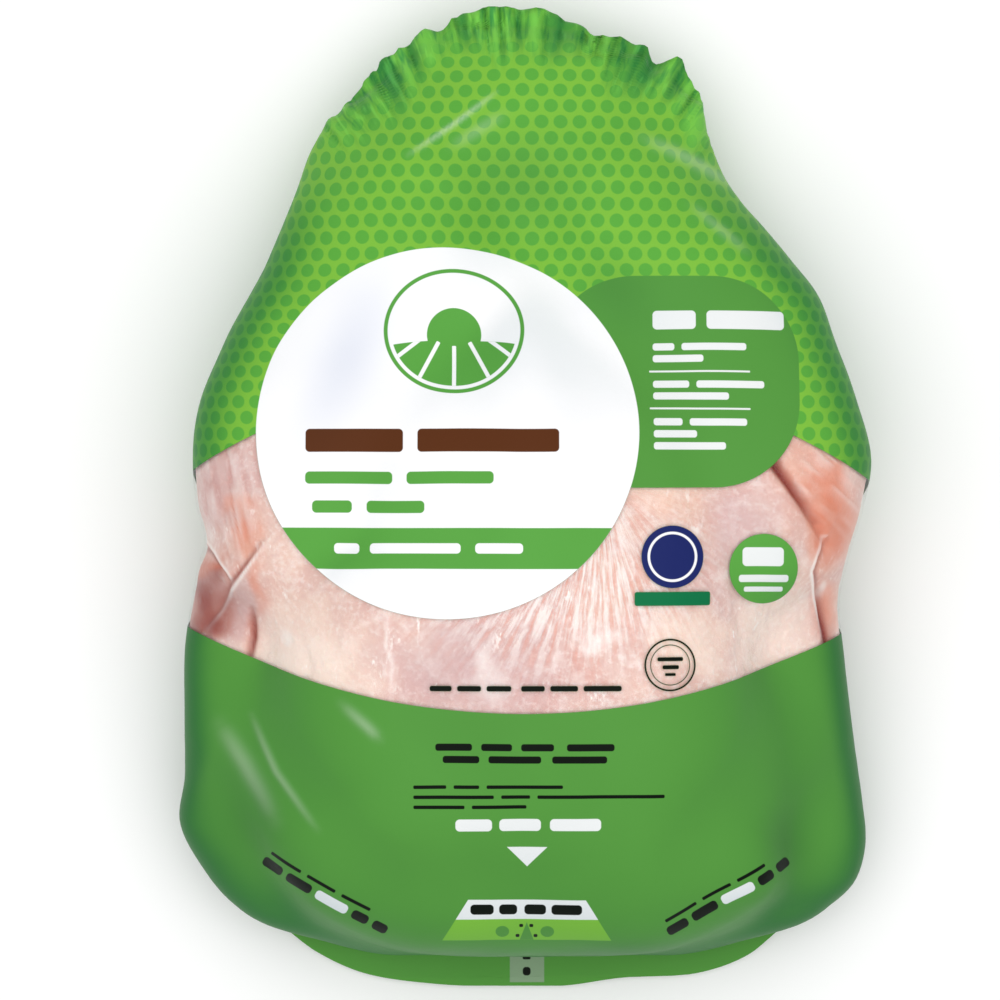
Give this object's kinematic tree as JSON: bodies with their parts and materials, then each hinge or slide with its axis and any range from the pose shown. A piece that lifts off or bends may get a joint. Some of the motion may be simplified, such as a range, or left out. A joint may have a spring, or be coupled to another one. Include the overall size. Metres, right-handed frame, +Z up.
{
  "type": "bagged whole raw chicken",
  "caption": "Whole raw chicken lying on its back in a tight sealed shrink bag, breast up, with a gathered mouth past the legs and a flat seal past the neck.",
  "frame": {"origin": "on the surface it lies on, under the middle of the bag's outline", "axes": "+Z up through the breast, +Y from the neck to the legs, +X across to the bird's left when it lies on its back"},
  "size_m": [0.19, 0.272, 0.098],
  "materials": {
    "printed_film": "glossy shrink film, printed in greens and white, clear in a band over the breast",
    "chicken_skin": "pale pink raw skin, moist under the film"
  },
  "bodies": {
    "root": {"bagged_chicken": "printed_film"}
  },
  "joints": []
}
